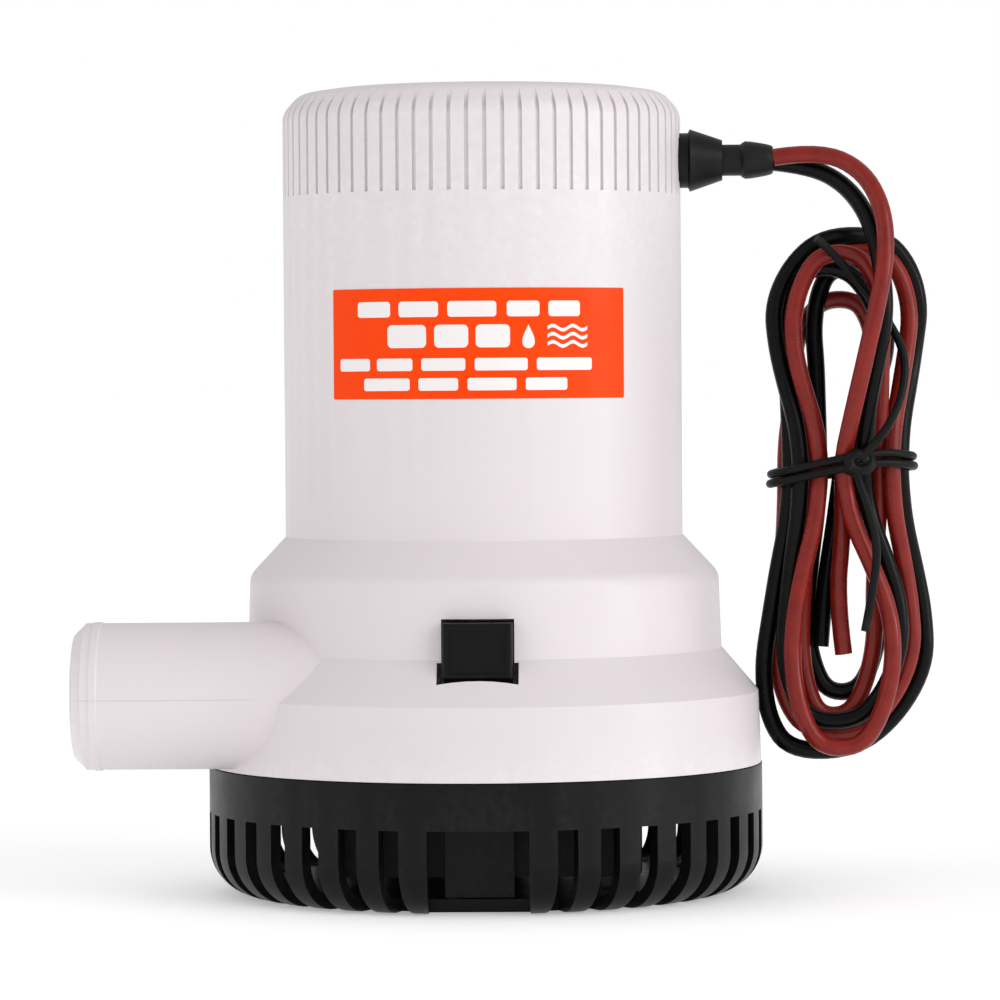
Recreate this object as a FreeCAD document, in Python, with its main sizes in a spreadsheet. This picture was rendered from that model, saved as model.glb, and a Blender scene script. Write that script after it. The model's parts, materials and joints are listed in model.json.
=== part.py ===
"""Submersible bilge pump: a strainer base with a latch on each side, and the pump that lifts off it.

Millimetres, +Z up. The origin is where the pump's axis meets the underside of the strainer base.
The discharge nozzle points along -X, the cable gland along +X, and the latches face -Y and +Y.
"""
import FreeCAD, Part
import math
import os
import re
import Sketcher

DRIVING = {
    # strainer base
    "base_radius": 55.05, "base_height": 25.4, "base_wall": 2.6, "floor_thick": 2.5,
    "corner_radius": 9.5, "slot_width": 4.0, "slot_top": 16.5, "slot_inner": 42.5,
    "slot_first": 18, "slot_spread": 144, "slot_count": 17, "window_width": 19.4,
    "spigot_radius": 52.0, "spigot_top": 29.0, "notch_width": 25.0,
    "screw_circle": 68.0, "screw_hole": 2.3,
    # latches
    "latch_pivot_y": 42.9, "latch_pivot_z": 3.9, "arm_half": 1.1, "arm_width": 13.2,
    "head_width": 13.3, "head_low": 45.0, "head_high": 55.6, "head_face": 50.0,
    "lug_width": 15.1, "lug_high": 47.6, "lug_depth": 2.6, "pocket_width": 15.6,
    "pocket_upper_width": 13.9, "pocket_low": 30.0, "pocket_step": 47.9, "pocket_high": 56.2,
    "pocket_face": 50.3, "pocket_inner": 39.6,
    # casing
    "skirt_low": 25.6, "skirt_radius": 54.9, "skirt_top": 39.8, "skirt_top_radius": 54.4,
    "waist_low": 48.4, "waist_radius": 47.1, "waist_top": 63.2, "waist_top_radius": 46.6,
    "waist_round": 4.0, "can_low": 70.8, "can_radius": 39.5, "can_wall": 2.2, "shell_wall": 2.5,
    "chamber_radius": 36.5, "chamber_wall": 2.0, "chamber_low": 26.0, "deck_low": 54.0,
    "deck_high": 58.0, "seal_radius": 8.0, "rib_inner": 30.3, "rib_thick": 2.4, "rib_top": 104.0,
    "nozzle_y": 24.0, "nozzle_z": 40.5, "nozzle_radius": 14.3, "nozzle_bore": 12.1,
    "nozzle_reach": 79.1, "hose_stop": 57.0, "nozzle_root": 20.0, "nozzle_root_radius": 14.45,
    "bead_at": 74.6, "bead_proud": 0.2, "nozzle_bevel": 2.2,
    # cap
    "cap_low": 138.0, "cap_edge": 154.6, "cap_top": 159.5, "cap_roof": 2.6,
    "shoulder_in": 3.4, "shoulder_drop": 1.2, "shoulder_round": 4.4, "groove_count": 72,
    "groove_width": 0.8, "groove_deep": 0.55, "groove_top": 157.6, "spigot_low": 129.5,
    "gland_z": 144.9, "gland_hole": 4.6,
    # volute cover
    "cover_low": 23.4, "cover_thick": 2.1, "eye_radius": 15.0, "ear_circle": 41.0,
    "ear_radius": 3.4, "ear_first": 50, "ear_count": 3, "boss_high": 14.0, "pilot_radius": 1.3,
    "pilot_deep": 10.0, "baffle_y": 34.0, "baffle_thick": 1.6, "baffle_half": 31.0,
    "baffle_low": 6.0, "baffle_high": 21.2, "baffle_stem_half": 10.0,
    # rotor
    "shaft_radius": 2.5, "shaft_low": 29.5, "shaft_top": 126.0, "impeller_low": 29.0,
    "impeller_top": 50.0, "impeller_radius": 32.0, "shroud_thick": 2.2, "hub_radius": 7.0,
    "vane_count": 6, "vane_thick": 2.0, "vane_lean": 28, "core_low": 71.0, "core_top": 104.0,
    "core_radius": 21.6, "core_slots": 12, "comm_low": 111.0, "comm_top": 120.0,
    "comm_radius": 6.5,
    # motor
    "motor_radius": 30.0, "motor_wall": 1.6, "motor_top": 112.0, "bearing_radius": 8.0,
    "bearing_high": 5.0, "bearing_low": 60.5, "bearing_top": 121.0, "bell_top": 127.5,
    "magnet_inner": 22.4, "magnet_span": 140, "brush_z": 114.5, "brush_side": 4.0,
    "motor_screw_at": 14.5, "motor_screw": 1.5,
    # label
    "label_low": 98.0, "label_high": 119.2, "label_span": 90, "label_thick": 0.12,
    # cord
    "wire_radius": 1.75, "inner_wire_radius": 1.2, "hank_front": -7.4, "hank_depth": 15.2,
    "tie_radius": 0.8,
}

doc = FreeCAD.newDocument("bilge_pump")
sheet = doc.addObject("Spreadsheet::Sheet", "dims")
for row, (alias, value) in enumerate(DRIVING.items(), start=1):
    sheet.set(f"A{row}", alias)
    sheet.set(f"B{row}", str(value))
    sheet.setAlias(f"B{row}", alias)
doc.recompute()

parts = {}
X, Y, Z = FreeCAD.Vector(1, 0, 0), FreeCAD.Vector(0, 1, 0), FreeCAD.Vector(0, 0, 1)


def dim(alias):
    """A driving dimension as a number."""
    return float(sheet.get(alias))


def formula(text):
    """A formula in sheet aliases, with each alias made a reference to the sheet."""
    return re.sub(r"\b[a-z]\w*\b(?!\()", lambda word: f"dims.{word.group(0)}", str(text))


def bind(thing, **formulas):
    """Ties properties to the sheet: Base_x stands for Placement.Base.x."""
    for name, text in formulas.items():
        path = "Placement.Base." + name[-1] if name.startswith("Base_") else name
        thing.setExpression(path, formula(text))


def new_part(name, kind):
    """A sub-part of the document; its label names its file."""
    thing = doc.addObject(kind, name + "_part")
    thing.Label = name
    parts[name] = thing
    return thing


def datum(body, role):
    return next(item for item in body.Origin.OriginFeatures if item.Role == role)


def outline(body, name, points):
    """A closed sketch of straight edges in the XZ plane, each corner tied to a pair of formulas."""
    sketch = body.newObject("Sketcher::SketchObject", f"{body.Label}_{name}")
    sketch.AttachmentSupport = [(datum(body, "XZ_Plane"), "")]
    sketch.MapMode = "FlatFace"
    count = len(points)
    rough = [FreeCAD.Vector(math.cos(2 * math.pi * i / count), math.sin(2 * math.pi * i / count), 0)
             for i in range(count)]
    for i in range(count):
        sketch.addGeometry(Part.LineSegment(rough[i], rough[(i + 1) % count]), False)
    for i in range(count):
        sketch.addConstraint(Sketcher.Constraint("Coincident", i, 2, (i + 1) % count, 1))
    for i, corner in enumerate(points):
        for kind, text in zip(("DistanceX", "DistanceY"), corner):
            index = sketch.addConstraint(Sketcher.Constraint(kind, -1, 1, i, 1, 1.0))
            sketch.setExpression(f"Constraints[{index}]", formula(text))
    return sketch


def turn(body, name, points, kind="Revolution"):
    """Adds (Revolution) or cuts (Groove) a full turn of an outline of (radius, height) pairs."""
    sketch = outline(body, name + "_outline", points)
    feature = body.newObject(f"PartDesign::{kind}", f"{body.Label}_{name}")
    feature.Profile = sketch
    feature.ReferenceAxis = (datum(body, "Z_Axis"), [""])
    feature.Angle = 360
    return feature


def turned(name, points):
    """A round piece about the pump's axis, from one outline."""
    body = new_part(name, "PartDesign::Body")
    turn(body, "shape", points)
    return body


def solid(body, name, kind, **formulas):
    """Adds or cuts a box or cylinder: kind is AdditiveCylinder, SubtractiveBox and so on."""
    feature = body.newObject(f"PartDesign::{kind}", f"{body.Label}_{name}")
    bind(feature, **formulas)
    return feature


def spun(axis, degrees):
    return FreeCAD.Rotation(axis, degrees)


def fin(body, name, kind, width, points, angle=0):
    """Adds (Pad) or cuts (Pocket) a flat upright slice of (radius, height) outline at an angle."""
    sketch = outline(body, name + "_outline", points)
    sketch.AttachmentOffset = FreeCAD.Placement(FreeCAD.Vector(), spun(Y, angle))
    feature = body.newObject(f"PartDesign::{kind}", f"{body.Label}_{name}")
    feature.Profile = sketch
    feature.Midplane = True
    bind(feature, Length=width)
    return feature


def around(body, feature, count, angle=360):
    """Repeats a feature about the pump's axis."""
    pattern = body.newObject("PartDesign::PolarPattern", f"{feature.Name}_ring")
    pattern.Originals = [feature]
    pattern.Axis = (datum(body, "Z_Axis"), [""])
    bind(pattern, Angle=angle, Occurrences=count)
    body.Tip = pattern
    return pattern


def round_circles(body, base, name, radius, circles):
    """Fillets the circular edges at the given (radius, height) places."""
    doc.recompute()
    edges = []
    for index, edge in enumerate(base.Shape.Edges, start=1):
        box = edge.BoundBox
        for wanted, height in circles:
            level = abs(box.ZMin - height) < 1e-4 and abs(box.ZMax - height) < 1e-4
            if level and abs(max(box.XMax, -box.XMin) - wanted) < 1e-3:
                edges.append(f"Edge{index}")
    fillet = body.newObject("PartDesign::Fillet", f"{body.Label}_{name}")
    fillet.Base = (base, edges)
    bind(fillet, Radius=radius)
    return fillet


def plain(name, shape):
    """A piece whose shape is worked out here, from the sheet's numbers."""
    feature = new_part(name, "Part::Feature")
    feature.Shape = shape
    return feature


# ---------------------------------------------------------------- strainer base and latches
def make_strainer():
    """A cup with 34 slots that run round its bottom corner, and two wide windows for the latches."""
    wall_in = "base_radius - base_wall"
    body = turned("strainer_base", [
        ("0", "0"), ("base_radius", "0"), ("base_radius", "base_height"),
        ("spigot_radius", "base_height"), ("spigot_radius", "spigot_top"),
        ("spigot_radius - 1.8", "spigot_top"), ("spigot_radius - 1.8", "base_height - 2"),
        (wall_in, "base_height - 6"), (wall_in, "floor_thick"), ("0", "floor_thick")])
    outer = round_circles(body, body.Tip, "outer_round", "corner_radius",
                          [(dim("base_radius"), 0)])
    round_circles(body, outer, "inner_round", "corner_radius - base_wall",
                  [(dim("base_radius") - dim("base_wall"), dim("floor_thick"))])
    slot = [("slot_inner", "-1"), ("base_radius + 1", "-1"),
            ("base_radius + 1", "slot_top"), ("slot_inner", "slot_top")]
    for side, facing in (("right", -90), ("left", 90)):
        first = fin(body, f"slot_{side}", "Pocket", "slot_width", slot,
                    facing + dim("slot_first"))
        around(body, first, "slot_count", "slot_spread")
    window = [("-base_radius - 1", "-1"), ("-slot_inner", "-1"), ("-slot_inner", "slot_top"),
              ("-base_radius - 1", "slot_top")]
    for side, angle in (("front", 90), ("rear", -90)):
        fin(body, f"window_{side}", "Pocket", "window_width", window, angle)
    hole = solid(body, "screw_hole", "SubtractiveCylinder", Radius="screw_hole",
                 Height="floor_thick + 2", Base_x="screw_circle / 2 * cos(45)",
                 Base_y="screw_circle / 2 * cos(45)", Base_z="-1")
    around(body, hole, "4")
    solid(body, "nozzle_notch", "SubtractiveBox", Length="base_radius / 2", Width="notch_width",
          Height="spigot_top", Base_x="-base_radius", Base_y="-nozzle_y - notch_width / 2",
          Base_z="base_height")


def make_latch(name, side):
    """A springy arm with a rounded foot and a push button head; side is -1 at the front."""
    pivot_y, pivot_z, half = dim("latch_pivot_y"), dim("latch_pivot_z"), dim("arm_half")
    width, head_low, head_high = dim("arm_width"), dim("head_low"), dim("head_high")
    face, head_width = dim("head_face"), dim("head_width")
    foot = Part.makeCylinder(half, width, FreeCAD.Vector(-width / 2, pivot_y, pivot_z), X)
    arm = Part.makeBox(width, 2 * half, head_high - pivot_z,
                       FreeCAD.Vector(-width / 2, pivot_y - half, pivot_z))
    head = Part.makeBox(head_width, face - pivot_y, head_high - head_low,
                        FreeCAD.Vector(-head_width / 2, pivot_y, head_low))
    head = head.makeFillet(0.6, [edge for edge in head.Edges if edge.BoundBox.YMin > face - 1e-6])
    recess = Part.makeBox(head_width - 2.6, 1, head_high - head_low - 2.4,
                          FreeCAD.Vector(1.3 - head_width / 2, face - 0.5, head_low + 0.9))
    lug_half, inner = dim("lug_width") / 2, head_width / 2 - 1
    lugs = []
    for way in (-1, 1):
        corner = Part.makePolygon([
            FreeCAD.Vector(way * inner, face - 3.4, head_low),
            FreeCAD.Vector(way * lug_half, face - 3.4, head_low),
            FreeCAD.Vector(way * inner, face - 3.4, dim("lug_high")),
            FreeCAD.Vector(way * inner, face - 3.4, head_low)])
        lugs.append(Part.Face(corner).extrude(Y * dim("lug_depth")))
    shape = arm.multiFuse([foot, head] + lugs).cut(recess).removeSplitter()
    if side < 0:
        shape.rotate(FreeCAD.Vector(), Z, 180)
    plain(name, shape)


# ---------------------------------------------------------------- casing
def make_casing():
    """One moulding: skirt, volute chamber, discharge nozzle, deck and motor can."""
    body = turned("main_casing", [
        ("skirt_radius", "skirt_low"), ("skirt_top_radius", "skirt_top"),
        ("waist_radius", "waist_low"), ("waist_top_radius", "waist_top"),
        ("can_radius", "can_low"), ("can_radius", "cap_low"),
        ("can_radius - can_wall", "cap_low"), ("can_radius - can_wall", "deck_high"),
        ("seal_radius", "deck_high"), ("seal_radius", "chamber_low"),
        ("chamber_radius + chamber_wall", "chamber_low"),
        ("chamber_radius + chamber_wall", "can_low - 5"),
        ("waist_top_radius - shell_wall", "waist_top - 1.5"),
        ("waist_radius - shell_wall", "waist_low - 0.8"),
        ("skirt_top_radius - shell_wall", "skirt_top - 0.8"),
        ("skirt_radius - shell_wall", "skirt_low")])
    round_circles(body, body.Tip, "waist_edge", "waist_round",
                  [(dim("waist_top_radius"), dim("waist_top"))])
    rib = fin(body, "motor_rib", "Pad", "rib_thick", [
        ("rib_inner", "deck_high - 1"), ("can_radius - 1", "deck_high - 1"),
        ("can_radius - 1", "rib_top"), ("rib_inner", "rib_top")], 30)
    around(body, rib, "6")
    boss = solid(body, "screw_boss", "AdditiveCylinder", Radius="ear_radius",
                 Height="boss_high", Base_x="ear_circle * cos(ear_first)",
                 Base_y="ear_circle * sin(ear_first)", Base_z="chamber_low")
    around(body, boss, "ear_count")
    nozzle_at = FreeCAD.Placement(FreeCAD.Vector(0, dim("nozzle_z"), dim("nozzle_y")),
                                  FreeCAD.Rotation())
    tube = [("-nozzle_reach", "0"), ("-nozzle_reach", "nozzle_radius - nozzle_bevel"),
            ("-nozzle_reach + nozzle_bevel", "nozzle_radius"),
            ("-bead_at - 1", "nozzle_radius"), ("-bead_at - 0.6", "nozzle_radius + bead_proud"),
            ("-bead_at + 0.6", "nozzle_radius + bead_proud"), ("-bead_at + 1", "nozzle_radius"),
            ("-hose_stop", "nozzle_radius"), ("-nozzle_root", "nozzle_root_radius"),
            ("-nozzle_root", "0")]
    nozzle = turn(body, "nozzle", tube)
    nozzle.Profile[0].AttachmentOffset = nozzle_at
    nozzle.ReferenceAxis = (nozzle.Profile[0], ["H_Axis"])
    solid(body, "chamber", "SubtractiveCylinder", Radius="chamber_radius",
          Height="deck_low - chamber_low + 1", Base_z="chamber_low - 1")
    bore = solid(body, "bore", "SubtractiveCylinder", Radius="nozzle_bore",
                 Height="nozzle_reach - nozzle_root + 7", Base_x="-nozzle_reach - 1",
                 Base_y="-nozzle_y", Base_z="nozzle_z")
    bore.Placement.Rotation = spun(Y, 90)
    for room, width, low, high in (
            ("lug_room", "pocket_width", "pocket_low", "pocket_step"),
            ("head_room", "pocket_upper_width", "pocket_step - 1", "pocket_high")):
        for side, low_y in (("front", "-pocket_face"), ("rear", "pocket_inner")):
            solid(body, f"{room}_{side}", "SubtractiveBox", Length=width,
                  Width="pocket_face - pocket_inner", Height=f"{high} - ({low})",
                  Base_x=f"-{width} / 2", Base_y=low_y, Base_z=low)
    pilot = solid(body, "screw_pilot", "SubtractiveCylinder", Radius="pilot_radius",
                  Height="pilot_deep + 1", Base_x="ear_circle * cos(ear_first)",
                  Base_y="ear_circle * sin(ear_first)", Base_z="chamber_low - 1")
    around(body, pilot, "ear_count")
    for way in (-1, 1):
        solid(body, f"motor_hole_{way + 1}", "SubtractiveCylinder", Radius="motor_screw + 0.15",
              Height="deck_high - deck_low + 2", Base_y=f"{way} * motor_screw_at",
              Base_z="deck_low - 1")


def make_cap():
    """The grooved closing cap, with a spigot that drops into the can and three hold-down ribs."""
    inner = "can_radius - can_wall"
    body = turned("top_cap", [
        ("0", "cap_top - cap_roof"), ("0", "cap_top"), ("can_radius - 9", "cap_top - 0.4"),
        ("can_radius - shoulder_in", "cap_top - shoulder_drop"), ("can_radius", "cap_edge"),
        ("can_radius", "cap_low"), (f"{inner} - 0.1", "cap_low"),
        (f"{inner} - 0.1", "cap_low - 2.6"), (f"{inner} - 1.6", "cap_low - 2.6"),
        (f"{inner} - 1.6", "cap_low - 4.8"), (f"{inner} - 0.1", "cap_low - 4.8"),
        (f"{inner} - 0.1", "spigot_low"), (f"{inner} - 2.2", "spigot_low"),
        (f"{inner} - 2.2", "cap_top - cap_roof")])
    round_circles(body, body.Tip, "shoulder", "shoulder_round", [
        (dim("can_radius"), dim("cap_edge")),
        (dim("can_radius") - dim("shoulder_in"), dim("cap_top") - dim("shoulder_drop"))])
    groove = fin(body, "groove", "Pocket", "groove_width", [
        ("can_radius - groove_deep", "cap_low"), ("can_radius + 1", "cap_low"),
        ("can_radius + 1", "groove_top + 2"), ("can_radius - 4.4", "groove_top + 2"),
        ("can_radius - 1.9", "groove_top - 1.2"), ("can_radius - groove_deep", "cap_edge - 1.6")],
        2.5)
    around(body, groove, "groove_count")
    rib = fin(body, "hold_down_rib", "Pad", "3", [
        ("18", "bell_top + 2.6"), (f"{inner} - 2", "bell_top + 2.6"),
        (f"{inner} - 2", "cap_top - cap_roof + 0.5"), ("18", "cap_top - cap_roof + 0.5")], 60)
    around(body, rib, "3")
    along_x = spun(Y, 90)
    hole = body.newObject("PartDesign::SubtractiveCylinder", "top_cap_gland_hole")
    hole.Placement = FreeCAD.Placement(FreeCAD.Vector(30, 0, dim("gland_z")), along_x)
    bind(hole, Radius="gland_hole", Height="can_radius")
    pad = body.newObject("PartDesign::SubtractiveCylinder", "top_cap_gland_seat")
    pad.Placement = FreeCAD.Placement(FreeCAD.Vector(dim("can_radius") - 0.6, 0, dim("gland_z")),
                                      along_x)
    bind(pad, Radius="6.4", Height="can_radius")
    plain("cap_o_ring", Part.makeTorus(36.5, 0.75, Z * (dim("cap_low") - 3.7)))


def make_cover():
    """The inlet plate under the impeller, its two baffles, its gasket and its three screws."""
    body = turned("volute_cover", [
        ("eye_radius", "cover_low - 2"), ("eye_radius + 1.6", "cover_low - 2"),
        ("eye_radius + 1.6", "cover_low"), ("chamber_radius + chamber_wall", "cover_low"),
        ("chamber_radius + chamber_wall", "cover_low + cover_thick"),
        ("eye_radius", "cover_low + cover_thick")])
    at = {"Base_x": "ear_circle * cos(ear_first)", "Base_y": "ear_circle * sin(ear_first)"}
    ear = solid(body, "ear", "AdditiveCylinder", Radius="ear_radius", Height="cover_thick",
                Base_z="cover_low", **at)
    around(body, ear, "ear_count")
    hole = solid(body, "ear_hole", "SubtractiveCylinder", Radius="1.6",
                 Height="cover_thick + 2", Base_z="cover_low - 1", **at)
    around(body, hole, "ear_count")
    thick, low, high = dim("baffle_thick"), dim("baffle_low"), dim("baffle_high")
    half, stem = dim("baffle_half"), dim("baffle_stem_half")
    baffles = []
    for near in (dim("baffle_y"), -dim("baffle_y") - thick):
        bar = Part.makeBox(2 * half, thick, high - low, FreeCAD.Vector(-half, near, low))
        ends = [edge for edge in bar.Edges if edge.BoundBox.YLength > thick / 2]
        root = Part.makeBox(2 * stem, thick, dim("cover_low") - high + 1,
                            FreeCAD.Vector(-stem, near, high - 1))
        baffles.append(bar.makeFillet(1.5, ends).fuse(root).removeSplitter())
    plain("suction_baffles", Part.makeCompound(baffles))
    turned("cover_gasket", [
        ("chamber_radius + 0.2", "cover_low + cover_thick"),
        ("chamber_radius + chamber_wall - 0.1", "cover_low + cover_thick"),
        ("chamber_radius + chamber_wall - 0.1", "chamber_low"),
        ("chamber_radius + 0.2", "chamber_low")])
    screws = []
    for index in range(int(dim("ear_count"))):
        turn_angle = math.radians(dim("ear_first") + index * 360 / dim("ear_count"))
        at_screw = FreeCAD.Vector(dim("ear_circle") * math.cos(turn_angle),
                                  dim("ear_circle") * math.sin(turn_angle), 0)
        screws.append(pan_screw(at_screw + Z * dim("cover_low"), 2.9, 1.8, 1.25, 11.5))
    plain("cover_screws", Part.makeCompound(screws))


def pan_screw(seat, head_radius, head_high, shank_radius, length):
    """A pan head screw that points up from its seat, with a cross recess in the head."""
    head = Part.makeCylinder(head_radius, head_high, seat - Z * head_high)
    rim = [edge for edge in head.Edges if edge.BoundBox.ZMax < seat.z - head_high + 1e-6]
    head = head.makeFillet(head_high * 0.6, rim)
    shank = Part.makeCylinder(shank_radius, length, seat)
    bar = head_radius * 1.1
    cross = [Part.makeBox(bar, 0.7, 1, seat + FreeCAD.Vector(-bar / 2, -0.35, -head_high - 0.2)),
             Part.makeBox(0.7, bar, 1, seat + FreeCAD.Vector(-0.35, -bar / 2, -head_high - 0.2))]
    return head.fuse(shank).cut(cross[0]).cut(cross[1])


# ---------------------------------------------------------------- rotor
def make_rotor():
    turned("shaft", [("0", "shaft_low"), ("shaft_radius", "shaft_low"),
                     ("shaft_radius", "shaft_top"), ("0", "shaft_top")])
    bore = "shaft_radius + 0.02"
    impeller = turned("impeller", [
        (bore, "impeller_low + 2"), ("hub_radius - 2", "impeller_low + 2"),
        ("hub_radius", "impeller_top - 8"), ("impeller_radius", "impeller_top - shroud_thick"),
        ("impeller_radius", "impeller_top"), (bore, "impeller_top")])
    vane = fin(impeller, "vane", "Pad", "vane_thick", [
        ("hub_radius - 3", "impeller_low + 4"), ("hub_radius + 6", "impeller_low"),
        ("impeller_radius - 1", "impeller_low"), ("impeller_radius - 1", "impeller_top - 1"),
        ("hub_radius - 3", "impeller_top - 1")])
    lean = math.radians(dim("vane_lean"))
    vane.Profile[0].AttachmentOffset = FreeCAD.Placement(
        FreeCAD.Vector(-3.4, 0, 3.4 * math.tan(lean)), spun(Y, -dim("vane_lean")))
    around(impeller, vane, "vane_count")
    turn(impeller, "bore", [("0", "impeller_low - 1"), (bore, "impeller_low - 1"),
                            (bore, "impeller_top + 1"), ("0", "impeller_top + 1")], "Groove")
    nut = Part.Face(hexagon(8, dim("impeller_low") - 1.5)).extrude(Z * 3.4)
    stub = Part.makeCylinder(dim("shaft_radius") + 0.02, 4, Z * (dim("shaft_low")))
    plain("impeller_nut", nut.cut(stub))
    turned("water_slinger", [(bore, "impeller_top + 0.2"), ("5.5", "impeller_top + 0.2"),
                             ("8.5", "impeller_top + 1.4"), ("5.5", "impeller_top + 2"),
                             (bore, "impeller_top + 2")])
    core = turned("armature_core", [(bore, "core_low"), ("core_radius", "core_low"),
                                    ("core_radius", "core_top"), (bore, "core_top")])
    slot = fin(core, "winding_slot", "Pocket", "2.4", [
        ("core_radius - 8", "core_low - 1"), ("core_radius + 1", "core_low - 1"),
        ("core_radius + 1", "core_top + 1"), ("core_radius - 8", "core_top + 1")])
    around(core, slot, "core_slots")
    windings = turned("armature_windings", [
        ("7", "core_low - 4.8"), ("17.5", "core_low - 4.8"), ("19.5", "core_low - 3"),
        ("19.5", "core_low"), ("7", "core_low")])
    turn(windings, "upper", [
        ("7", "core_top"), ("19.5", "core_top"), ("19.5", "core_top + 3.5"),
        ("17.5", "core_top + 5.5"), ("7", "core_top + 5.5")])
    wire = fin(windings, "slot_wire", "Pad", "2.2", [
        ("core_radius - 7.8", "core_low - 1"), ("core_radius - 2.4", "core_low - 1"),
        ("core_radius - 2.4", "core_top + 1"), ("core_radius - 7.8", "core_top + 1")])
    around(windings, wire, "core_slots")
    comm = turned("commutator", [(bore, "comm_low"), ("comm_radius + 1.6", "comm_low"),
                                 ("comm_radius + 1.6", "comm_low + 1.2"),
                                 ("comm_radius", "comm_low + 1.2"),
                                 ("comm_radius", "comm_top"), (bore, "comm_top")])
    gap = fin(comm, "bar_gap", "Pocket", "0.5", [
        ("comm_radius - 0.8", "comm_low - 1"), ("comm_radius + 2", "comm_low - 1"),
        ("comm_radius + 2", "comm_top + 1"), ("comm_radius - 0.8", "comm_top + 1")])
    around(comm, gap, "core_slots")


def hexagon(across, height):
    """A hexagonal outline across flats, level at the given height."""
    corner = across / math.sqrt(3)
    points = [FreeCAD.Vector(corner * math.cos(math.radians(60 * i)),
                             corner * math.sin(math.radians(60 * i)), height)
              for i in range(7)]
    return Part.makePolygon(points)


# ---------------------------------------------------------------- motor
def bearing(name, low):
    """A sealed bearing drawn as one ring, with a shallow shield groove on each face."""
    high = f"{low} + bearing_high"
    inner, outer = "shaft_radius + 0.05", "bearing_radius - 0.05"
    return turned(name, [
        (inner, low), (f"{inner} + 1", low), (f"{inner} + 1", f"{low} + 0.4"),
        (f"{outer} - 1.2", f"{low} + 0.4"), (f"{outer} - 1.2", low), (outer, low),
        (outer, high), (f"{outer} - 1.2", high), (f"{outer} - 1.2", f"{high} - 0.4"),
        (f"{inner} + 1", f"{high} - 0.4"), (f"{inner} + 1", high), (inner, high)])


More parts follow.
